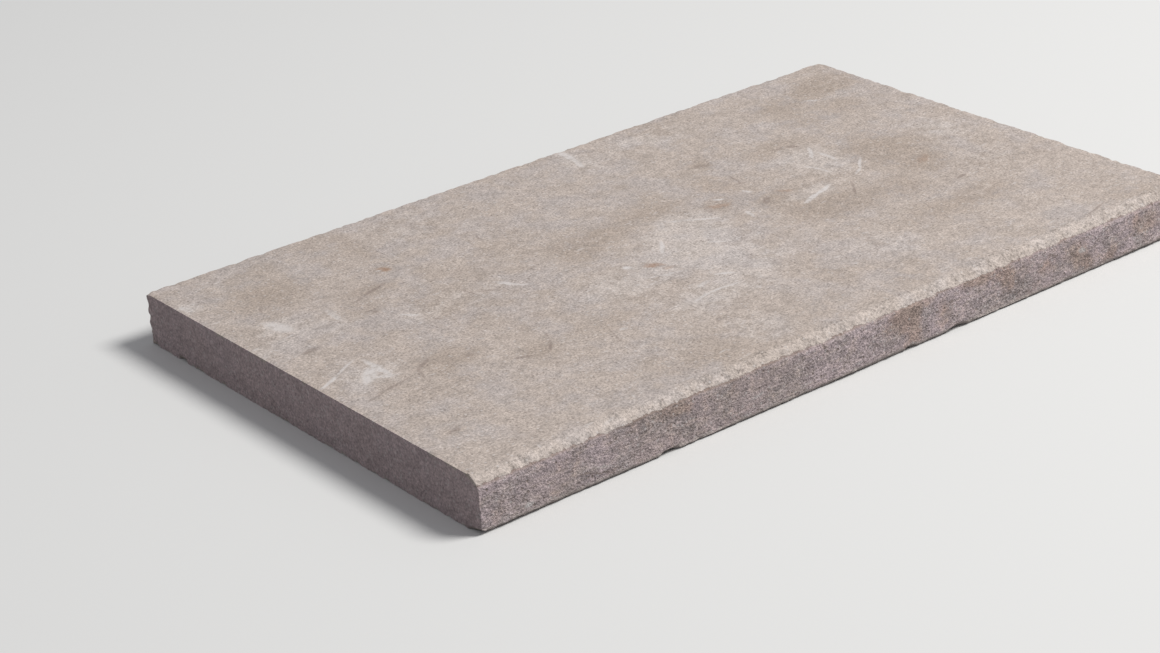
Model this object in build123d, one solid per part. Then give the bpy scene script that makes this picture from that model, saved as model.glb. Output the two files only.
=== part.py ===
from build123d import *
import math
import os

# One natural stone coping unit: a sawn slab with its long front edge worked to a pencil round.
# The row of copings runs along X, the pencil edge looks towards -Y, and +Z is up.
# The origin is the middle of the bedding face. Sizes are in millimetres.

# Slab
length = 500.0          # along the row, from one sawn butt end to the other
width = 300.0           # from the proudest point of the dressed front to the sawn back
thickness = 30.0        # from the bedding face to the honed top

# Pencil round along the top of the front edge
pencil_radius = 8.5

# Hand-dressed front face, which wanders in and out below the round
dressing_least = 0.3    # taken off the front of the round where the face stands proudest
dressing_wave = 0.9     # further in, where the face lies deepest
wave_long = 230.0       # lengths of the two waves along the row
wave_short = 74.0
wave_lean = 31.0        # how far a wave slips along the row from the bottom to the top
proud_place = 20.0      # where the face stands proudest at its foot, from the left end
dressing_pitch = 10.0   # about the distance between the points that the face passes through

# Arris between the front and the bedding face, knocked off at 45 degrees
lower_ease = 2.2

# Flakes lost from the lower front arris: place from the left end, length along the arris, depth
front_flakes = [(117.0, 13.0, 1.5), (283.0, 9.0, 1.1), (318.0, 16.0, 1.6)]

# Flakes lost from the lower arris of the left end: place from the front, length, depth
end_flakes = [(26.0, 5.0, 0.5), (267.5, 9.0, 1.3)]

# Flake at the lower front corner of the left end: reach along the front, to the back and upwards
front_corner_flake = (5.0, 10.0, 3.7)

# Flake at the upper back corner of the left end: reach along the back, to the front and downwards
back_corner_flake = (3.5, 4.0, 1.3)

# How far a corner flake is hollowed below the plane through its three ends
flake_hollow = 0.3

left = -length / 2
front = -width / 2
back = width / 2
round_front = front - dressing_least
round_foot = thickness - pencil_radius


def sawn_blank():
    """The slab as it leaves the saw and the round cutter: one section drawn out along the row."""
    outline = Polyline(
        (round_front, round_foot),
        (round_front, lower_ease + dressing_least),
        (front + lower_ease, 0),
        (back, 0),
        (back, thickness),
        (round_front + pencil_radius, thickness),
    )
    pencil_round = RadiusArc(
        (round_front + pencil_radius, thickness),
        (round_front, round_foot),
        -pencil_radius,
    )
    section = make_face(outline + pencil_round)
    return extrude(Plane.YZ * section, length / 2, both=True)


def dressing_depth(x, z):
    """How far the dressed face lies behind its proudest point, from 0 to dressing_wave."""
    along = x - left - proud_place + wave_lean * z / thickness
    swell = math.cos(2 * math.pi * along / wave_long)
    ripple = math.cos(2 * math.pi * along / wave_short)
    return dressing_wave * (0.5 - 0.3 * swell - 0.2 * ripple)


def spread(low, high, pitch):
    """Even places from low to high, about pitch apart."""
    bays = math.ceil((high - low) / pitch)
    return [low + (high - low) * bay / bays for bay in range(bays + 1)]


def dressing_waste():
    """What is dressed off the front, carried past both ends and up to the middle of the round."""
    stations = spread(left - dressing_pitch, -left + dressing_pitch, dressing_pitch)
    heights = spread(-dressing_pitch, thickness - pencil_radius / 3, dressing_pitch)
    rows = [[(x, front + dressing_depth(x, z), z) for z in heights] for x in stations]
    dressed_face = Face.make_surface_from_array_of_points(rows)
    return extrude(dressed_face, pencil_radius, dir=(0, -1, 0))


def shell_flake(place, outward, reach, depth):
    """A ball that scoops a flake of this length and depth out of an arris at place."""
    radius = ((reach / 2) ** 2 + depth ** 2) / (2 * depth)
    centre = Vector(*place) + Vector(*outward).normalized() * (radius - depth)
    return Pos(centre) * Sphere(radius)


def corner_flake(corner, along, across, upright):
    """A ball through one point on each of the three arrises that meet at corner."""
    corner = Vector(*corner)
    ends = [
        corner + Vector(along, 0, 0),
        corner + Vector(0, across, 0),
        corner + Vector(0, 0, upright),
    ]
    rim = ThreePointArc(*ends)
    outward = (ends[1] - ends[0]).cross(ends[2] - ends[0]).normalized()
    if outward.dot(corner - ends[0]) < 0:
        outward = outward * -1
    radius = (rim.radius ** 2 + flake_hollow ** 2) / (2 * flake_hollow)
    return Pos(rim.arc_center + outward * (radius - flake_hollow)) * Sphere(radius)


def flakes():
    """Every flake that the stone has lost."""
    lost = []
    for place, reach, depth in front_flakes:
        foot = (left + place, front + lower_ease / 2, lower_ease / 2)
        lost.append(shell_flake(foot, (0, -1, -1), reach, depth))
    for place, reach, depth in end_flakes:
        lost.append(shell_flake((left, front + place, 0), (-1, 0, -1), reach, depth))
    along, across, upright = front_corner_flake
    lost.append(corner_flake((left, front, 0), along, across, upright))
    along, across, upright = back_corner_flake
    lost.append(corner_flake((left, back, thickness), along, -across, -upright))
    return lost


coping_stone = sawn_blank() - dressing_waste() - flakes()

os.makedirs("parts", exist_ok=True)
export_step(coping_stone, "parts/coping_stone.step")
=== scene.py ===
import math

import bpy
import numpy as np
from bpy.props import FloatProperty, FloatVectorProperty, IntProperty, PointerProperty
from mathutils import Euler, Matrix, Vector


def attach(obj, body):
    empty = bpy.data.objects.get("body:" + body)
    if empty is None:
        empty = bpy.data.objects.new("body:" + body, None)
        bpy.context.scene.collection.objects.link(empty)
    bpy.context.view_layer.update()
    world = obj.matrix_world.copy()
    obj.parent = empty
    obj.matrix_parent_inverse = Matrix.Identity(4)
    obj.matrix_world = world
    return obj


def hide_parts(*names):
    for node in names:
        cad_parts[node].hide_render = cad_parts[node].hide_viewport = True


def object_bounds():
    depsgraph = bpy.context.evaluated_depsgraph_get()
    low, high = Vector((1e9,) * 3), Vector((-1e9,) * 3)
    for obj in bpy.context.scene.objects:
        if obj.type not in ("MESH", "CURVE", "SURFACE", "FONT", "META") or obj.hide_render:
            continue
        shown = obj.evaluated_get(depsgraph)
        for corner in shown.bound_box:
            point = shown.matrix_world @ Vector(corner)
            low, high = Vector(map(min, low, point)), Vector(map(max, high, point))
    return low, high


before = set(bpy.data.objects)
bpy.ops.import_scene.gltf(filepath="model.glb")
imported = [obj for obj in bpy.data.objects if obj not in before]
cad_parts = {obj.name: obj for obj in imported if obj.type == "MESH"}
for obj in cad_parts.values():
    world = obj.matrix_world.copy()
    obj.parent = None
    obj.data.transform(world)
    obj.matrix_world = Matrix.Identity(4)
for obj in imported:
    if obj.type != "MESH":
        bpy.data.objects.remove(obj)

bl_info = {
    "name": "Pencil edge coping",
    "version": (1, 0, 0),
    "blender": (4, 5, 0),
    "location": "View3D > Sidebar > Coping",
    "description": "Models one natural stone coping with a pencil round and sets it on a stage",
    "category": "Object",
}

# The solid's box, in metres: the stone lies along X with its pencil edge towards -Y
CAD_BOX = [list(corner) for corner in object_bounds()]
LEFT, FRONT, BED = CAD_BOX[0]
RIGHT, BACK, TOP = CAD_BOX[1]
MM = 0.001
NEAR = 0.1 * MM             # what is this near to a face of the box counts as on it

# Corners of the left end that have lost a flake, and how far round them the mesh is fine
CHIPPED_CORNERS = (Vector((LEFT, FRONT, BED)), Vector((LEFT, BACK, TOP)))
CHIP_REACH = 12 * MM

# Mesh of the stone
FRONT_PITCH = 0.9 * MM      # between the rows of the dressed face
FRONT_CUTS = 2              # further cuts of each column at the front
ROUND_PROFILE = 0.5         # a quarter of a circle
EASE_PROFILE = 0.35         # between 0.25, a flat cut, and 0.5, a round
EASE_ROWS = 3               # rows of faces on the knocked-off lower arris
MERGE_WITHIN = 0.005 * MM
SHARP = math.radians(40)    # an edge that turns by more than this is an arris

# Relief of the stone
MARK_GRAIN = 4.5 * MM       # across a tool mark
HONING_GRAIN = 22 * MM      # across a swell of the honed top
NICK_GRAIN = 4 * MM         # across a nick in an arris
FOOT_WEAR = 0.5             # nicks at the foot of the front, as a share of the others

# Zones and marks of the finish
SKIN = 0.35 * MM            # the look of a sawn face fades in between these two depths
THIN_SKIN = 0.15 * MM
DRESSED_FROM = 4.3 * MM     # below the top, where the dressed face starts
CLOUD_SKIRT = 1.35          # where a painted cloud ends, in parts of its reach
MARK_SOFTNESS = 0.45        # soft rim of a mark, as a share of its size

# Stage, in metres and degrees
LAMP_SIDE = (0.45, -0.40, 0.80)
LAMP_DISTANCE = 4.0
LAMP_SIZE = 1.6
LAMP_TINT = (1.0, 0.99, 0.97)
SKY_TINT = (0.98, 0.99, 1.04)
CAMERA_PLACE = (-0.8759, -1.0561, 0.6144)
CAMERA_TURNS = (37.33, 24.86, -3.53)    # azimuth, elevation and roll

# Shell fragments in the top: from (x, y) to (x, y), width and strength.
# Places on the top are in millimetres from the left end and from the front.
SHELLS = [
    (24, 123, 33, 133, 7.0, 0.9),
    (36, 142, 36, 120, 4.0, 0.9),
    (27, 124, 38, 119, 3.0, 0.7),
    (2, 132, 16, 139, 2.4, 0.9),
    (14, 138, 31, 148, 1.8, 0.7),
    (26, 215, 29, 205, 8.0, 0.8),
    (57, 208, 56, 197, 4.0, 0.6),
    (4, 268, 5, 262, 4.0, 0.7),
    (83, 176, 88, 170, 2.8, 0.7),
    (143, 173, 148, 165, 3.0, 0.8),
    (148, 165, 154, 158, 1.8, 0.6),
    (286, 298, 284, 284, 5.0, 0.9),
    (284, 284, 281, 270, 3.4, 0.7),
    (204, 138, 205, 136, 3.4, 1.0),
    (231, 139, 240, 151, 2.6, 0.9),
    (262, 169, 272, 162, 2.6, 0.7),
    (272, 162, 284, 155, 2.2, 0.8),
    (258, 131, 265, 126, 2.4, 0.6),
    (201, 78, 214, 81, 1.8, 0.7),
    (214, 81, 232, 80, 2.0, 0.8),
    (233, 96, 240, 92, 2.6, 0.8),
    (216, 91, 223, 92, 3.2, 0.6),
    (203, 118, 222, 112, 2.0, 0.6),
    (335, 135, 347, 139, 3.4, 1.0),
    (347, 139, 359, 144, 3.4, 1.0),
    (383, 182, 392, 194, 2.6, 0.9),
    (372, 174, 375, 160, 2.4, 0.6),
    (392, 184, 391, 170, 2.6, 0.7),
    (383, 145, 391, 150, 2.0, 0.8),
    (391, 150, 402, 161, 1.8, 0.8),
    (300, 142, 302, 149, 3.0, 0.6),
    (301, 175, 304, 173, 2.6, 1.0),
    (321, 174, 323, 169, 2.4, 0.8),
    (446, 254, 451, 251, 2.0, 0.9),
    (152, 79, 154, 78, 2.6, 0.7),
    (278, 2, 281, 1, 3.0, 1.0),
]

# Dark seams and pits in the top, listed as the shells are
SEAMS = [
    (20, 173, 27, 174, 4.0, 1.0),
    (74, 207, 82, 210, 2.6, 0.7),
    (82, 211, 98, 216, 2.6, 0.9),
    (10, 103, 22, 107, 1.8, 0.7),
    (22, 107, 40, 111, 1.8, 0.8),
    (46, 105, 49, 115, 1.6, 0.8),
    (49, 115, 60, 122, 2.4, 0.9),
    (77, 111, 79, 110, 2.6, 1.0),
    (93, 90, 99, 88, 3.0, 0.8),
    (111, 86, 117, 94, 2.0, 1.0),
    (119, 99, 122, 103, 1.8, 0.7),
    (124, 178, 126, 166, 1.2, 0.8),
    (130, 170, 137, 165, 2.4, 0.7),
    (72, 193, 75, 189, 2.6, 0.9),
    (92, 160, 93, 158, 2.0, 0.9),
    (31, 232, 35, 239, 1.8, 0.7),
    (172, 226, 174, 234, 1.4, 0.7),
    (330, 196, 328, 183, 1.6, 1.0),
    (324, 184, 332, 181, 1.4, 0.7),
    (318, 151, 323, 156, 4.0, 1.0),
    (327, 221, 332, 219, 4.4, 0.8),
    (386, 205, 390, 202, 3.0, 0.9),
    (376, 208, 381, 206, 2.4, 0.7),
    (362, 124, 368, 131, 1.6, 1.0),
    (368, 131, 374, 140, 1.4, 0.8),
    (194, 51, 196, 53, 2.4, 0.9),
    (419, 98, 426, 100, 2.4, 1.0),
    (20, 48, 26, 49, 3.0, 0.8),
    (423, 1, 431, 9, 1.6, 0.9),
    (431, 9, 446, 14, 1.6, 0.8),
    (143, 70, 146, 81, 1.2, 0.8),
]

# Rusty spots in the top, listed as the shells are
RUST_SPOTS = [
    (109, 233, 111, 231, 5.0, 1.0),
    (214, 131, 219, 127, 5.5, 1.0),
    (219, 122, 223, 120, 3.0, 0.5),
    (292, 168, 300, 165, 6.0, 0.6),
    (334, 158, 339, 155, 4.0, 0.6),
    (424, 132, 430, 136, 6.0, 0.5),
]

# Brown clouds in the top: centre, reach along and across, strength
BROWN_CLOUDS = [
    (68, 116, 20, 13, 1.0),
    (107, 90, 15, 11, 0.7),
    (60, 94, 9, 14, 0.5),
    (45, 248, 26, 20, 0.8),
    (88, 215, 18, 9, 0.7),
    (70, 196, 12, 12, 0.5),
    (110, 232, 9, 9, 0.6),
    (117, 268, 9, 24, 0.6),
    (213, 181, 26, 14, 1.0),
    (195, 166, 16, 10, 0.5),
    (262, 188, 32, 13, 0.7),
    (296, 167, 13, 10, 1.0),
    (330, 222, 10, 11, 0.8),
    (316, 190, 17, 16, 0.7),
    (325, 148, 14, 18, 0.9),
    (342, 119, 30, 17, 1.1),
    (380, 208, 26, 13, 0.8),
    (422, 163, 28, 32, 0.9),
    (425, 128, 16, 16, 0.8),
    (388, 112, 20, 18, 0.7),
    (385, 73, 27, 16, 0.7),
    (417, 74, 20, 13, 0.8),
    (345, 68, 16, 12, 0.4),
    (430, 258, 26, 14, 0.8),
    (474, 268, 26, 16, 1.2),
    (420, 230, 16, 14, 0.6),
    (455, 233, 20, 14, 0.7),
    (158, 22, 34, 12, 0.5),
    (152, 90, 20, 12, 0.5),
    (235, 24, 18, 13, 0.4),
    (298, 16, 14, 14, 0.5),
    (24, 49, 12, 8, 0.4),
    (470, 14, 26, 10, 0.5),
]

# Bleached or lilac clouds in the top, listed as the brown ones are
PALE_CLOUDS = [
    (28, 211, 14, 12, 0.9),
    (48, 192, 18, 12, 0.5),
    (285, 282, 10, 20, 0.9),
    (330, 279, 30, 16, 0.6),
    (28, 130, 18, 18, 0.8),
    (8, 190, 14, 14, 0.6),
    (4, 266, 10, 10, 0.8),
    (264, 158, 28, 18, 1.0),
    (243, 130, 36, 26, 1.0),
    (188, 120, 24, 18, 0.9),
    (216, 78, 38, 20, 0.7),
    (256, 96, 26, 20, 0.6),
    (382, 178, 20, 28, 0.9),
    (346, 143, 20, 9, 0.9),
    (205, 30, 20, 18, 0.5),
    (128, 170, 28, 11, 0.4),
    (85, 166, 16, 10, 0.6),
    (330, 60, 22, 20, 0.4),
    (468, 162, 18, 22, 0.7),
    (455, 112, 22, 12, 0.4),
    (150, 270, 30, 18, 0.4),
]

# Stains on the dressed front: centre along the row and up from the bed, reaches, strength
FRONT_STAINS = [
    (112, 24, 16, 5, 0.5),
    (130, 23, 12, 5, 0.6),
    (272, 18, 9, 7, 0.7),
    (284, 11, 8, 12, 0.8),
    (283, 23, 14, 5, 0.8),
    (331, 24, 12, 4, 0.9),
    (352, 21, 8, 6, 0.9),
    (358, 15, 6, 6, 0.7),
    (308, 13, 9, 8, 0.5),
    (386, 15, 9, 6, 0.6),
    (408, 14, 12, 8, 0.6),
    (418, 7, 9, 7, 0.5),
    (468, 18, 16, 7, 0.7),
    (437, 6, 8, 7, 0.5),
]

# Cracks and pits in the dressed front: from (x, z) to (x, z), width and strength
FRONT_SEAMS = [
    (218, 26, 221, 21, 1.2, 0.9),
    (221, 21, 225, 19, 1.0, 0.7),
    (58, 10, 68, 8, 1.2, 0.7),
    (66, 8, 79, 4, 1.2, 0.8),
    (84, 26, 100, 25, 2.4, 0.7),
    (90, 22, 95, 20, 1.8, 0.7),
    (152, 26, 162, 25, 2.0, 0.7),
    (389, 21, 393, 18, 2.0, 0.9),
    (405, 17, 412, 12, 1.8, 0.8),
    (416, 11, 421, 10, 1.8, 0.8),
    (312, 18, 314, 18, 1.6, 0.9),
]

# Pale pebbles in the dressed front, listed as its cracks are
FRONT_SHELLS = [
    (28, 6, 30, 6, 2.6, 1.0),
    (414, 16, 416, 15, 3.0, 0.9),
    (172, 11, 178, 12, 1.6, 0.6),
    (70, 10, 80, 7, 1.4, 0.5),
]


class CopingSizes(bpy.types.PropertyGroup):
    """Sizes of the modelled stone."""

    pencil_radius: FloatProperty(
        name="Pencil radius", description="Radius of the round along the top of the front edge",
        default=8.5 * MM, min=1 * MM, unit="LENGTH", subtype="DISTANCE", precision=4)
    lower_ease: FloatProperty(
        name="Lower ease", description="Width knocked off the arris under the front face",
        default=2.2 * MM, min=0.2 * MM, unit="LENGTH", subtype="DISTANCE", precision=4)
    mesh_pitch: FloatProperty(
        name="Mesh pitch", description="Distance between the rows of the mesh on the flat faces",
        default=2.5 * MM, min=1 * MM, unit="LENGTH", subtype="DISTANCE", precision=4)
    round_rows: IntProperty(
        name="Round rows", description="Rows of faces that make the pencil round",
        default=14, min=4)
    arris_loss: FloatProperty(
        name="Arris loss", description="Deepest nick in the arrises",
        default=1.1 * MM, min=0, unit="LENGTH", subtype="DISTANCE", precision=4)
    dressed_relief: FloatProperty(
        name="Dressed relief", description="Height of the tool marks on the dressed front",
        default=0.5 * MM, min=0, unit="LENGTH", subtype="DISTANCE", precision=4)
    top_relief: FloatProperty(
        name="Top relief", description="Height of the gentle unevenness that honing leaves",
        default=0.12 * MM, min=0, unit="LENGTH", subtype="DISTANCE", precision=4)


class CopingColours(bpy.types.PropertyGroup):
    """Colours of the limestone, in linear light."""

    limestone: FloatVectorProperty(
        name="Limestone", description="Ground colour of the stone",
        default=(0.484, 0.414, 0.369), size=3, subtype="COLOR", min=0, max=1)
    brown: FloatVectorProperty(
        name="Brown cloud", description="Colour of the clay clouds",
        default=(0.385, 0.315, 0.265), size=3, subtype="COLOR", min=0, max=1)
    lilac: FloatVectorProperty(
        name="Lilac", description="Colour of the cool greyish clouds",
        default=(0.475, 0.428, 0.415), size=3, subtype="COLOR", min=0, max=1)
    shell: FloatVectorProperty(
        name="Shell", description="Colour of shell fragments and pale grains",
        default=(0.690, 0.650, 0.635), size=3, subtype="COLOR", min=0, max=1)
    seam: FloatVectorProperty(
        name="Seam", description="Colour of seams, pits and dark specks",
        default=(0.245, 0.192, 0.170), size=3, subtype="COLOR", min=0, max=1)
    sawn: FloatVectorProperty(
        name="Sawn face", description="Ground colour of the sawn ends, back and bed",
        default=(0.488, 0.378, 0.398), size=3, subtype="COLOR", min=0, max=1)
    # Pale colour of the band along the round, which is partly rubbed stone and partly a painted
    # highlight; also the painted light on the foot of the front
    bleached_and_painted_light: FloatVectorProperty(
        name="Bleached", description="Colour of the bleached grains on the round",
        default=(0.700, 0.620, 0.570), size=3, subtype="COLOR", min=0, max=1)
    stain: FloatVectorProperty(
        name="Stain", description="Colour of the earthy stains on the dressed front",
        default=(0.480, 0.330, 0.245), size=3, subtype="COLOR", min=0, max=1)
    crease: FloatVectorProperty(
        name="Crease", description="Colour of the shaded line under the round",
        default=(0.300, 0.215, 0.170), size=3, subtype="COLOR", min=0, max=1)
    rust: FloatVectorProperty(
        name="Rust", description="Colour of the rusty spots",
        default=(0.330, 0.195, 0.125), size=3, subtype="COLOR", min=0, max=1)
    dressed: FloatVectorProperty(
        name="Dressed face", description="Ground colour where the face was dressed by hand",
        default=(0.588, 0.485, 0.497), size=3, subtype="COLOR", min=0, max=1)


class StageSettings(bpy.types.PropertyGroup):
    """Floor, light and camera."""

    floor_reach: FloatProperty(
        name="Floor reach", description="Half the side of the floor",
        default=12.0, min=1, unit="LENGTH", subtype="DISTANCE")
    floor_colour: FloatVectorProperty(
        name="Floor", description="Colour of the floor as the camera sees it",
        default=(0.78, 0.78, 0.77), size=3, subtype="COLOR", min=0, max=1)
    floor_bounce: FloatProperty(
        name="Floor bounce", description="Share of the light that the floor throws back up",
        default=0.25, min=0, max=1)
    key_power: FloatProperty(
        name="Key power", description="Power of the large lamp in watts",
        default=143.0, min=0)
    sky_strength: FloatProperty(
        name="Sky strength", description="Strength of the even light from all round",
        default=0.30, min=0)
    focal_length: FloatProperty(
        name="Focal length", description="Focal length for a frame 36 mm wide",
        default=83.6, min=10)


def show_only(piece):
    """Leaves one object selected and active, in object mode."""
    bpy.ops.object.select_all(action="DESELECT")
    piece.select_set(True)
    bpy.context.view_layer.objects.active = piece


def select_where(piece, mode, elements, wanted):
    """In edit mode, selects the edges or faces that pass the test, and nothing else."""
    bpy.ops.mesh.select_mode(type=mode)
    bpy.ops.mesh.select_all(action="DESELECT")
    bpy.ops.object.mode_set(mode="OBJECT")
    found = [element for element in getattr(piece.data, elements) if wanted(element)]
    for element in found:
        element.select = True
    bpy.ops.object.mode_set(mode="EDIT")
    if not found:
        raise RuntimeError(f"none of the stone's {elements} passes the test")


def select_edges(piece, wanted):
    """Selects the edges whose two ends pass the test."""
    def passes(edge):
        return wanted(*(piece.data.vertices[end].co for end in edge.vertices))

    select_where(piece, "EDGE", "edges", passes)


def select_faces(piece, wanted):
    """Selects the faces whose middle passes the test."""
    select_where(piece, "FACE", "polygons", lambda face: wanted(face.center))


def along_row(a, b):
    """True for an edge that runs along the row."""
    return abs(a.x - b.x) > abs(a.y - b.y) + abs(a.z - b.z)


def off_chipped_corner(place):
    """The distance to the nearer chipped corner."""
    return min((place - corner).length for corner in CHIPPED_CORNERS)


def cut_rows(low, high, pitch, normal):
    """Bisects the whole mesh at even places from low to high, about pitch apart."""
    count = max(1, round((high - low) / pitch))
    for row in range(1, count):
        place = low + (high - low) * row / count
        bpy.ops.mesh.select_all(action="SELECT")
        bpy.ops.mesh.bisect(plane_co=[place * part for part in normal], plane_no=normal)


def weigh(piece, name, weight_at):
    """Makes a vertex group whose weight at each vertex is weight_at(place)."""
    group = piece.vertex_groups.new(name=name)
    for vertex in piece.data.vertices:
        weight = weight_at(vertex.co)
        if weight > 0:
            group.add([vertex.index], min(1.0, weight), "REPLACE")


def fade(value, clear, full):
    """0 at clear and beyond, 1 at full and beyond, and even in between."""
    return max(0.0, min(1.0, (value - clear) / (full - clear)))


def apply_modifier(piece, kind, **settings):
    """Adds one modifier with these settings and applies it."""
    modifier = piece.modifiers.new(kind.lower(), kind)
    for name, value in settings.items():
        setattr(modifier, name, value)
    bpy.ops.object.modifier_apply(modifier=modifier.name)


def cloud_texture(name, grain, depth=2, contrast=1.0, brightness=1.0):
    """A cloud texture whose lumps are about grain across."""
    texture = bpy.data.textures.new(name, "CLOUDS")
    texture.noise_scale = grain
    texture.noise_depth = depth
    texture.noise_basis = "ORIGINAL_PERLIN"
    texture.contrast = contrast
    texture.intensity = brightness
    texture.use_clamp = True
    return texture


def displace(piece, group, texture, strength, mid_level=0.5):
    """Moves the vertices of a group along their normals by a texture."""
    apply_modifier(piece, "DISPLACE", texture=texture, texture_coords="LOCAL", strength=strength,
                   mid_level=mid_level, vertex_group=group)


def sawn_slab(sizes):
    """The slab with its pencil round and knocked-off lower arris, as a few large faces."""
    middle = [(low + high) / 2 for low, high in zip(*CAD_BOX)]
    spans = [high - low for low, high in zip(*CAD_BOX)]
    bpy.ops.object.select_all(action="DESELECT")
    bpy.ops.mesh.primitive_cube_add(size=1, location=middle, scale=spans)
    stone = bpy.context.object
    stone.name = "dressed_coping"
    stone.data.name = "dressed_coping"
    bpy.ops.object.transform_apply(location=True, rotation=True, scale=True)
    bpy.ops.object.mode_set(mode="EDIT")
    select_edges(stone, lambda a, b: along_row(a, b) and a.y < FRONT + NEAR and a.z > TOP - NEAR)
    bpy.ops.mesh.bevel(offset=sizes.pencil_radius, segments=sizes.round_rows,
                       profile=ROUND_PROFILE, affect="EDGES")
    select_edges(stone, lambda a, b: along_row(a, b) and a.y < FRONT + NEAR and a.z < BED + NEAR)
    bpy.ops.mesh.bevel(offset=sizes.lower_ease, segments=EASE_ROWS, profile=EASE_PROFILE,
                       affect="EDGES")
    return stone


def mesh_slab(stone, sizes):
    """Cuts the slab's faces into a mesh that is fine at the front and in the chipped corners."""
    round_back = FRONT + sizes.pencil_radius
    round_foot = TOP - sizes.pencil_radius
    cut_rows(round_back, BACK, sizes.mesh_pitch, (0, 1, 0))
    cut_rows(BED + sizes.lower_ease, round_foot, FRONT_PITCH, (0, 0, 1))
    cut_rows(round_foot, TOP, sizes.mesh_pitch, (0, 0, 1))
    # Columns in two steps, because one step makes at most 100 cuts
    columns = round((RIGHT - LEFT) / sizes.mesh_pitch)
    for cuts in (columns // 2 - 1, 1):
        select_edges(stone, along_row)
        bpy.ops.mesh.subdivide(number_cuts=cuts)
    select_edges(stone, lambda a, b: along_row(a, b) and a.y < round_back + NEAR)
    bpy.ops.mesh.subdivide(number_cuts=FRONT_CUTS)
    select_faces(stone, lambda place: off_chipped_corner(place) < CHIP_REACH)
    bpy.ops.mesh.subdivide(number_cuts=1)
    bpy.ops.mesh.select_all(action="SELECT")
    bpy.ops.mesh.remove_doubles(threshold=MERGE_WITHIN)
    bpy.ops.mesh.normals_make_consistent(inside=False)
    bpy.ops.object.mode_set(mode="OBJECT")


def take_dressing_from_solid(stone, sizes):
    """Draws the front, the foot of the left end and the chipped corners onto the solid."""
    crease = TOP - sizes.pencil_radius / 2

    def weight(place):
        under_round = fade(place.z, crease + 1.5 * MM, crease)
        in_front = fade(place.y, FRONT + 6 * MM, FRONT + 4 * MM)
        at_end = fade(place.x, LEFT + 4 * MM, LEFT + 3 * MM)
        at_foot = fade(place.z, BED + 5 * MM, BED + 4 * MM)
        in_corner = fade(off_chipped_corner(place), CHIP_REACH + 2 * MM, CHIP_REACH)
        return max(under_round * in_front, in_corner, at_end * at_foot)

    weigh(stone, "drawn_to_solid", weight)
    apply_modifier(stone, "SHRINKWRAP", target=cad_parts["coping_stone"],
                   wrap_method="NEAREST_SURFACEPOINT", vertex_group="drawn_to_solid")


def weigh_arrises(stone, sizes):
    """Makes a vertex group of the sharp arrises and, more weakly, of the foot of the front."""
    bpy.ops.object.mode_set(mode="EDIT")
    bpy.ops.mesh.select_mode(type="EDGE")
    bpy.ops.mesh.select_all(action="DESELECT")
    bpy.ops.mesh.edges_select_sharp(sharpness=SHARP)
    arris = stone.vertex_groups.new(name="arris")
    stone.vertex_groups.active_index = arris.index
    bpy.context.scene.tool_settings.vertex_group_weight = 1.0
    bpy.ops.object.vertex_group_assign()
    bpy.ops.object.mode_set(mode="OBJECT")
    foot = [vertex.index for vertex in stone.data.vertices
            if vertex.co.z < BED + sizes.lower_ease + NEAR and vertex.co.y < FRONT + 3 * MM]
    arris.add(foot, FOOT_WEAR, "REPLACE")


def roughen(stone, sizes):
    """Gives the dressed face tool marks, the top its unevenness and the arrises their nicks."""
    def dressed(place):
        under_round = fade(place.z, TOP - 2 * MM, TOP - 5 * MM)
        in_front = fade(place.y, FRONT + 4 * MM, FRONT + 2.5 * MM)
        return under_round * in_front * fade(place.z, BED, BED + 1 * MM)

    weigh(stone, "dressed", dressed)
    weigh(stone, "honed", lambda place: fade(place.z, TOP - 4 * MM, TOP - 1 * MM))
    weigh_arrises(stone, sizes)
    displace(stone, "dressed", cloud_texture("tool_marks", MARK_GRAIN, depth=3),
             sizes.dressed_relief)
    displace(stone, "honed", cloud_texture("honing", HONING_GRAIN), sizes.top_relief)
    displace(stone, "arris", cloud_texture("nicks", NICK_GRAIN, contrast=2.5, brightness=0.72),
             -sizes.arris_loss, mid_level=0.0)


def cloud_strength(along, across, patches):
    """The sum of several soft patches at places given in millimetres."""
    total = np.zeros(len(along))
    for middle_along, middle_across, reach_along, reach_across, strength in patches:
        distance = np.hypot((along - middle_along) / reach_along,
                            (across - middle_across) / reach_across)
        total += strength * np.clip(CLOUD_SKIRT - distance, 0, 1)
    return np.clip(total, 0, 1)


def paint_clouds(stone):
    """Paints the clouds and stains as a colour of the mesh: brown, pale and front stain."""
    count = len(stone.data.vertices)
    places = np.empty(count * 3)
    stone.data.vertices.foreach_get("co", places)
    x, y, z = places.reshape(count, 3).T / MM - np.array([[LEFT], [FRONT], [BED]]) / MM
    paint = np.ones((count, 4))
    paint[:, 0] = cloud_strength(x, y, BROWN_CLOUDS)
    paint[:, 1] = cloud_strength(x, y, PALE_CLOUDS)
    paint[:, 2] = cloud_strength(x, z, FRONT_STAINS)
    attribute = stone.data.color_attributes.new(name="clouds", type="FLOAT_COLOR", domain="POINT")
    attribute.data.foreach_set("color", paint.ravel())


def blank_material(name):
    """A material with an empty node tree."""
    material = bpy.data.materials.new(name)
    material.use_nodes = True
    material.node_tree.nodes.clear()
    return material


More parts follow.
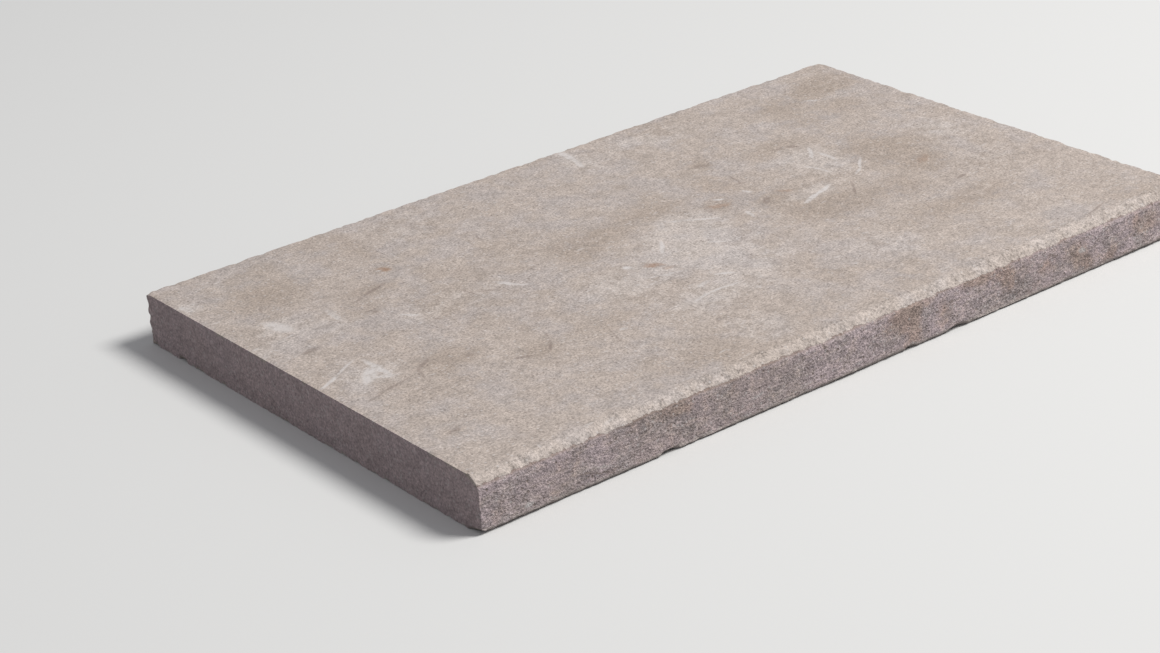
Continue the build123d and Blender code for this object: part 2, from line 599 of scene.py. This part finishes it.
class Recipe:
    """Adds nodes to one tree and links them, so that a finish reads as a recipe."""

    def __init__(self, tree):
        self.tree = tree

    def add(self, kind, inputs=None, **settings):
        """Adds a node with these inputs and settings."""
        node = self.tree.nodes.new("ShaderNode" + kind)
        for name, value in settings.items():
            setattr(node, name, value)
        for key, value in (inputs or {}).items():
            self.feed(node.inputs[key], value)
        return node

    def feed(self, socket, value):
        """Links a socket to another, or sets it to a plain value."""
        if isinstance(value, bpy.types.NodeSocket):
            self.tree.links.new(value, socket)
        else:
            socket.default_value = value

    def calc(self, operation, a, b=0.0):
        """One sum of two values."""
        return self.add("Math", {0: a, 1: b}, operation=operation).outputs[0]

    def product(self, *values):
        """All the values multiplied."""
        result = values[0]
        for value in values[1:]:
            result = self.calc("MULTIPLY", result, value)
        return result

    def slope(self, value, low, high, low_out=0.0, high_out=1.0, smooth=True):
        """Maps low to low_out and high to high_out, and holds the ends."""
        node = self.add("MapRange", {0: value, 1: low, 2: high, 3: low_out, 4: high_out},
                        interpolation_type="SMOOTHSTEP" if smooth else "LINEAR")
        return node.outputs[0]

    def shift(self, place, offset, stretch=(1, 1, 1), turn=0.0):
        """Moves, stretches and turns the places that a pattern is read at."""
        node = self.add("Mapping", {"Vector": place, "Location": offset, "Scale": stretch,
                                    "Rotation": (0, 0, turn)})
        return node.outputs[0]

    def noise(self, place, grain, detail, roughness):
        """Cloudy noise from 0 to 1 whose lumps are about grain across."""
        node = self.add("TexNoise", {"Vector": place, "Scale": 1 / grain, "Detail": detail,
                                     "Roughness": roughness})
        return node.outputs[0]

    def tint(self, amount, base, colour):
        """Turns base towards a colour by amount."""
        node = self.add("Mix", {0: amount, 6: base, 7: colour}, data_type="RGBA")
        return node.outputs[2]

    def shade(self, base, value, strength):
        """Lightens or darkens base by value, which is 0.5 where nothing changes."""
        off_middle = self.calc("SUBTRACT", value, 0.5)
        gain = self.calc("MULTIPLY", strength, 2.0)
        factor = self.add("Math", {0: off_middle, 1: gain, 2: 1.0}, operation="MULTIPLY_ADD")
        scaled = self.add("VectorMath", {0: base, "Scale": factor.outputs[0]}, operation="SCALE")
        return scaled.outputs[0]

    def specks(self, place, spacing, share, size):
        """Round specks in a share of the cells of this spacing; size is in parts of a cell."""
        cells = self.add("TexVoronoi", {"Vector": place, "Scale": 1 / spacing, "Randomness": 1.0})
        lot = self.add("SeparateColor", {0: cells.outputs["Color"]}).outputs[0]
        chosen = self.slope(lot, 1 - share, 1 - share + 0.02)
        return self.product(chosen, self.slope(cells.outputs["Distance"], size, size * 0.4))

    def mark(self, place, middle, reach, turn, edge, strength):
        """An elliptical mark: full inside, 0 from reach outwards; edge is its soft share."""
        mapped = self.add("Mapping", {"Vector": place, "Location": middle, "Scale": (*reach, 1),
                                      "Rotation": (0, 0, turn)}, vector_type="TEXTURE")
        ball = self.add("TexGradient", {"Vector": mapped.outputs[0]}, gradient_type="SPHERICAL")
        return self.slope(ball.outputs[1], 0.0, edge, 0.0, strength)

    def streaks(self, place, marks, low):
        """The strongest of several thin marks; low is where their second measure starts."""
        spread = 1 + MARK_SOFTNESS
        strongest = 0.0
        for x0, y0, x1, y1, width, strength in marks:
            start, end = (Vector((LEFT + x * MM, low + y * MM, 0))
                          for x, y in ((x0, y0), (x1, y1)))
            run = end - start
            half_width = width * MM / 2 * spread
            reach = (run.length / 2 * spread + half_width, half_width)
            found = self.mark(place, (start + end) / 2, reach, math.atan2(run.y, run.x),
                              2 * MARK_SOFTNESS / spread, strength)
            strongest = self.calc("MAXIMUM", found, strongest)
        return strongest

    def seen_by_camera(self, seen, otherwise):
        """One colour for what the camera sees, another for the light that reaches the stone."""
        path = self.add("LightPath").outputs
        looked_at = self.calc("MAXIMUM", path["Is Camera Ray"], path["Is Glossy Ray"])
        looked_at = self.calc("MAXIMUM", looked_at, path["Is Transmission Ray"])
        return self.tint(looked_at, otherwise, seen)


class Limestone(Recipe):
    """Shelly limestone: honed on top, dressed in front, sawn at the ends, the back and the bed."""

    def __init__(self, tree, colours):
        super().__init__(tree)
        self.colours = colours
        self.ground = (*colours.limestone, 1.0)
        self.here = self.add("TexCoord").outputs["Object"]
        self.x, self.y, self.z = self.add("SeparateXYZ", {0: self.here}).outputs
        # Noise at three sizes, used by all that follows
        self.rim = self.noise(self.here, 9 * MM, 5.0, 0.68)
        self.lumps = self.noise(self.here, 4.5 * MM, 4.0, 0.7)
        self.fine = self.noise(self.here, 1.3 * MM, 2.0, 0.75)

    def swing(self, noise, reach):
        """A noise as a swing from -reach to reach."""
        return self.slope(noise, 0.3, 0.7, -reach, reach, smooth=False)

    def grade(self, smooth, rough):
        """One value on the honed and sawn faces, another on the round and the dressed face."""
        return self.slope(self.coarse, 0.0, 1.0, smooth, rough)

    def blend(self, colour, *amounts):
        """Turns the ground towards a colour by the product of the amounts."""
        self.ground = self.tint(self.product(*amounts), self.ground, (*colour, 1.0))

    def mottle(self, noise, strength):
        """Lightens and darkens the ground by a noise."""
        self.ground = self.shade(self.ground, noise, strength)

    def warp_places(self):
        """Warps the places a little, so that the listed marks get ragged rims."""
        swung = self.add("CombineXYZ", {0: self.swing(self.lumps, 1.2 * MM),
                                        1: self.swing(self.rim, 1.2 * MM),
                                        2: self.swing(self.lumps, 0.8 * MM)}).outputs[0]
        self.warped = self.add("VectorMath", {0: self.here, 1: swung}, operation="ADD").outputs[0]
        self.on_top = self.add("VectorMath", {0: self.warped, 1: (1, 1, 0)},
                               operation="MULTIPLY").outputs[0]
        turned = self.add("SeparateXYZ", {0: self.warped}).outputs
        self.on_front = self.add("CombineXYZ", {0: turned[0], 1: turned[2]}).outputs[0]

    def find_zones(self):
        """Finds the sawn faces, the honed top, the dressed front and the band along the round."""
        end = self.slope(self.calc("ABSOLUTE", self.x), RIGHT - SKIN, RIGHT - THIN_SKIN)
        back = self.slope(self.y, BACK - SKIN, BACK - THIN_SKIN)
        bed = self.slope(self.z, BED + SKIN, BED + THIN_SKIN)
        self.sawn = self.calc("MAXIMUM", self.calc("MAXIMUM", end, back), bed)
        unsawn = self.calc("SUBTRACT", 1.0, self.sawn)
        self.top = self.product(unsawn, self.slope(self.z, TOP - 0.8 * MM, TOP - 0.4 * MM))
        height = self.calc("ADD", self.z, self.swing(self.rim, 0.9 * MM))
        self.height = self.calc("ADD", height, self.swing(self.fine, 0.3 * MM))
        below_round = self.slope(self.height, TOP - 3.9 * MM, TOP - DRESSED_FROM)
        in_front = self.slope(self.y, FRONT + 2.6 * MM, FRONT + 2.0 * MM)
        self.dressed = self.product(below_round, in_front, unsawn)
        margin = self.calc("ADD", self.y, self.swing(self.rim, 2.5 * MM))
        self.band = self.product(self.slope(margin, FRONT + 9.5 * MM, FRONT + 5 * MM), unsawn,
                                 self.calc("SUBTRACT", 1.0, self.dressed))
        self.coarse = self.calc("MAXIMUM", self.band, self.dressed)

    def colour_ground(self):
        """Gives each zone its ground colour, with its clouds and stains."""
        colours = self.colours
        self.blend(colours.dressed, self.dressed)
        broad = self.noise(self.shift(self.here, (0.31, 0.17, 0.05)), 50 * MM, 2.0, 0.55)
        self.blend(colours.brown, self.slope(broad, 0.42, 0.72, 0.0, 0.35))
        self.cool = self.noise(self.shift(self.here, (-0.22, 0.41, 0.09)), 26 * MM, 4.0, 0.65)
        self.blend(colours.lilac, self.slope(self.cool, 0.42, 0.66, 0.0, 0.6))
        self.blend(colours.sawn, self.sawn, 0.7)
        painted = self.add("Attribute", attribute_name="clouds")
        brown, pale, stain = self.add("SeparateColor", {0: painted.outputs["Color"]}).outputs
        torn_by = self.swing(self.rim, 0.55)
        for amount, zone, strength, colour in ((brown, self.top, 0.72, colours.brown),
                                               (pale, self.top, 0.26, colours.shell),
                                               (stain, self.dressed, 0.54, colours.stain)):
            torn = self.slope(self.calc("ADD", amount, torn_by), 0.0, 0.95)
            self.blend(colour, torn, zone, strength)

    def lay_bedding(self):
        """Streaks that lie flat in the block, and hair cracks along them in the dressed face."""
        flattened = self.shift(self.here, (0, 0, 0), (0.3, 0.3, 1.0))
        bedding = self.noise(flattened, 2.6 * MM, 3.0, 0.65)
        self.mottle(bedding, self.slope(self.dressed, 0.0, 1.0, 0.16, 0.60))
        self.blend(self.colours.brown, self.dressed, self.slope(bedding, 0.50, 0.64, 0.0, 0.45))
        off_crack = self.calc("ABSOLUTE", self.calc("SUBTRACT", bedding, 0.47))
        self.blend(self.colours.seam, self.dressed, self.slope(off_crack, 0.030, 0.008),
                   self.slope(self.cool, 0.44, 0.54), 0.75)

    def scatter_grain(self):
        """Lumps, single grains and short pale streaks of shell hash, all at random."""
        self.mottle(self.rim, 0.14)
        self.mottle(self.lumps, self.grade(0.36, 0.65))
        self.mottle(self.fine, self.grade(0.85, 1.25))
        pale_grains = self.specks(self.here, 2.6 * MM, 0.28, 0.36)
        self.blend(self.colours.shell, pale_grains, self.grade(0.45, 0.55))
        moved = self.shift(self.here, (0.02, 0.03, 0.04))
        self.dark_grains = self.specks(moved, 3.0 * MM, 0.3, 0.32)
        self.blend(self.colours.seam, self.dark_grains, self.grade(0.45, 0.85))
        drawn_out = self.shift(self.warped, (0.1, 0.2, 0.3), (0.25, 1.0, 1.0), 0.6)
        self.blend(self.colours.shell, self.specks(drawn_out, 4 * MM, 0.16, 0.24), 0.4)

    def place_marks(self):
        """The listed marks; those in the top are worn by the grain."""
        colours = self.colours
        worn = self.slope(self.lumps, 0.34, 0.55, 0.4, 1.0)
        for marks, colour, strength in ((SHELLS, colours.shell, 0.85),
                                        (RUST_SPOTS, colours.rust, 0.7),
                                        (SEAMS, colours.seam, 0.68)):
            self.blend(colour, self.top, worn, self.streaks(self.on_top, marks, FRONT), strength)
        for marks, colour in ((FRONT_SHELLS, colours.shell), (FRONT_SEAMS, colours.seam)):
            self.blend(colour, self.dressed, self.streaks(self.on_front, marks, BED), 0.8)

    def paint_front_wear_and_light(self):
        """The band along the round, paler as rubbed stone and as a painted highlight, the painted
        shade of the crease under it, and painted light on the foot.
        """
        colours = self.colours
        # The band along the round: paler rubbed stone plus a painted highlight on the lit upper
        # part of the round
        self.blend(colours.bleached_and_painted_light, self.band, self.slope(self.lumps, 0.3, 0.62, 0.1, 1.0), 0.38)
        # Painted shade: a darker line in the crease under the round
        crease = self.slope(self.height, TOP - 5.6 * MM, TOP - DRESSED_FROM)
        broken = self.slope(self.rim, 0.60, 0.42, 0.25, 1.0)
        self.blend(colours.crease, self.dressed, crease, broken, 0.68)
        # Painted light: the foot of the front made paler against the shade on its downward-facing
        # eased arris
        painted_light_to = self.calc("ADD", self.z, self.swing(self.lumps, 1.2 * MM))
        foot = self.slope(painted_light_to, BED + 3.4 * MM, BED + 2.2 * MM)
        self.blend(colours.bleached_and_painted_light, self.dressed, foot, 0.6)

    def make_surface(self):
        """The surface, with relief in metres that is too fine for the mesh."""
        relief = self.product(self.fine, self.grade(0.14 * MM, 0.8 * MM))
        relief = self.calc("SUBTRACT", relief, self.product(self.dark_grains, 0.16 * MM))
        bump = self.add("Bump", {"Height": relief, "Distance": 1.0, "Strength": 1.0})
        roughness = self.slope(self.lumps, 0.2, 0.8, 0.72, 0.90, smooth=False)
        surface = self.add("BsdfPrincipled", {"Base Color": self.ground, "Roughness": roughness,
                                              "Specular IOR Level": 0.3,
                                              "Normal": bump.outputs[0]})
        self.add("OutputMaterial", {"Surface": surface.outputs[0]})


def limestone(colours):
    """The material of the stone."""
    material = blank_material("shelly_limestone")
    finish = Limestone(material.node_tree, colours)
    finish.warp_places()
    finish.find_zones()
    finish.colour_ground()
    finish.lay_bedding()
    finish.scatter_grain()
    finish.place_marks()
    finish.paint_front_wear_and_light()
    finish.make_surface()
    return material


def lay_floor(settings):
    """A plain pale floor under the bed of the stone, which keeps its shadow."""
    bpy.ops.object.select_all(action="DESELECT")
    bpy.ops.mesh.primitive_plane_add(size=2 * settings.floor_reach, location=(0, 0, BED))
    floor = bpy.context.object
    floor.name = "floor"
    material = blank_material("floor_paint")
    recipe = Recipe(material.node_tree)
    bounce = (settings.floor_bounce,) * 3
    colour = recipe.seen_by_camera((*settings.floor_colour, 1.0), (*bounce, 1.0))
    surface = recipe.add("BsdfDiffuse", {"Color": colour})
    recipe.add("OutputMaterial", {"Surface": surface.outputs[0]})
    floor.data.materials.append(material)


def hang_lamp(settings):
    """One large soft lamp from the front right."""
    towards_lamp = Vector(LAMP_SIDE).normalized()
    lamp = bpy.data.lights.new("key_lamp", "AREA")
    lamp.shape = "DISK"
    lamp.size = LAMP_SIZE
    lamp.energy = settings.key_power
    lamp.color = LAMP_TINT
    lamp_object = bpy.data.objects.new("key_lamp", lamp)
    lamp_object.location = towards_lamp * LAMP_DISTANCE
    lamp_object.rotation_euler = towards_lamp.to_track_quat("Z", "Y").to_euler()
    bpy.context.scene.collection.objects.link(lamp_object)


def light_sky(settings):
    """An even pale sky."""
    world = bpy.data.worlds.new("pale_sky")
    bpy.context.scene.world = world
    world.use_nodes = True
    world.node_tree.nodes.clear()
    recipe = Recipe(world.node_tree)
    sky = [settings.sky_strength * part for part in SKY_TINT]
    colour = recipe.seen_by_camera((*settings.floor_colour, 1.0), (*sky, 1.0))
    background = recipe.add("Background", {"Color": colour, "Strength": 1.0})
    recipe.add("OutputWorld", {"Surface": background.outputs[0]})


def place_camera(settings):
    """The camera where the photograph was taken from: its place, and how it is turned."""
    camera = bpy.data.cameras.new("camera")
    camera.sensor_width = 36
    camera.lens = settings.focal_length
    camera.clip_end = 100
    camera_object = bpy.data.objects.new("camera", camera)
    camera_object.location = CAMERA_PLACE
    azimuth, elevation, roll = (math.radians(angle) for angle in CAMERA_TURNS)
    look = Euler((math.pi / 2 - elevation, 0, -azimuth), "XYZ").to_matrix()
    tilt = Euler((0, 0, roll), "XYZ").to_matrix()
    camera_object.rotation_euler = (look @ tilt).to_euler()
    bpy.context.scene.collection.objects.link(camera_object)
    bpy.context.scene.camera = camera_object


class COPING_OT_make_stone(bpy.types.Operator):
    """Model the coping stone over its solid and give it its limestone finish"""
    bl_idname = "coping.make_stone"
    bl_label = "Make coping stone"

    def execute(self, context):
        sizes = context.scene.coping_sizes
        stone = sawn_slab(sizes)
        mesh_slab(stone, sizes)
        show_only(stone)
        take_dressing_from_solid(stone, sizes)
        roughen(stone, sizes)
        paint_clouds(stone)
        bpy.ops.object.shade_smooth_by_angle(angle=SHARP)
        stone.data.materials.append(limestone(context.scene.coping_colours))
        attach(stone, "root")
        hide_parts("coping_stone")
        return {"FINISHED"}


class COPING_OT_set_stage(bpy.types.Operator):
    """Lay the floor, hang the lamp, light the sky and place the camera"""
    bl_idname = "coping.set_stage"
    bl_label = "Set stage"

    def execute(self, context):
        settings = context.scene.coping_stage
        lay_floor(settings)
        hang_lamp(settings)
        light_sky(settings)
        place_camera(settings)
        context.scene.view_settings.view_transform = "Standard"
        return {"FINISHED"}


class VIEW3D_PT_coping(bpy.types.Panel):
    """Sizes, colours and steps of the coping stone"""
    bl_label = "Pencil edge coping"
    bl_space_type = "VIEW_3D"
    bl_region_type = "UI"
    bl_category = "Coping"

    def draw(self, context):
        for group in (context.scene.coping_sizes, context.scene.coping_colours,
                      context.scene.coping_stage):
            box = self.layout.box()
            for name in group.bl_rna.properties.keys():
                if name not in ("rna_type", "name"):
                    box.prop(group, name)
        for operator in (COPING_OT_make_stone, COPING_OT_set_stage):
            self.layout.operator(operator.bl_idname)


CLASSES = (CopingSizes, CopingColours, StageSettings, COPING_OT_make_stone, COPING_OT_set_stage,
           VIEW3D_PT_coping)


def register():
    for cls in CLASSES:
        bpy.utils.register_class(cls)
    bpy.types.Scene.coping_sizes = PointerProperty(type=CopingSizes)
    bpy.types.Scene.coping_colours = PointerProperty(type=CopingColours)
    bpy.types.Scene.coping_stage = PointerProperty(type=StageSettings)


def unregister():
    del bpy.types.Scene.coping_stage
    del bpy.types.Scene.coping_colours
    del bpy.types.Scene.coping_sizes
    for cls in reversed(CLASSES):
        bpy.utils.unregister_class(cls)


def main():
    register()
    bpy.ops.coping.make_stone()
    bpy.ops.coping.set_stage()


if __name__ == "__main__":
    main()
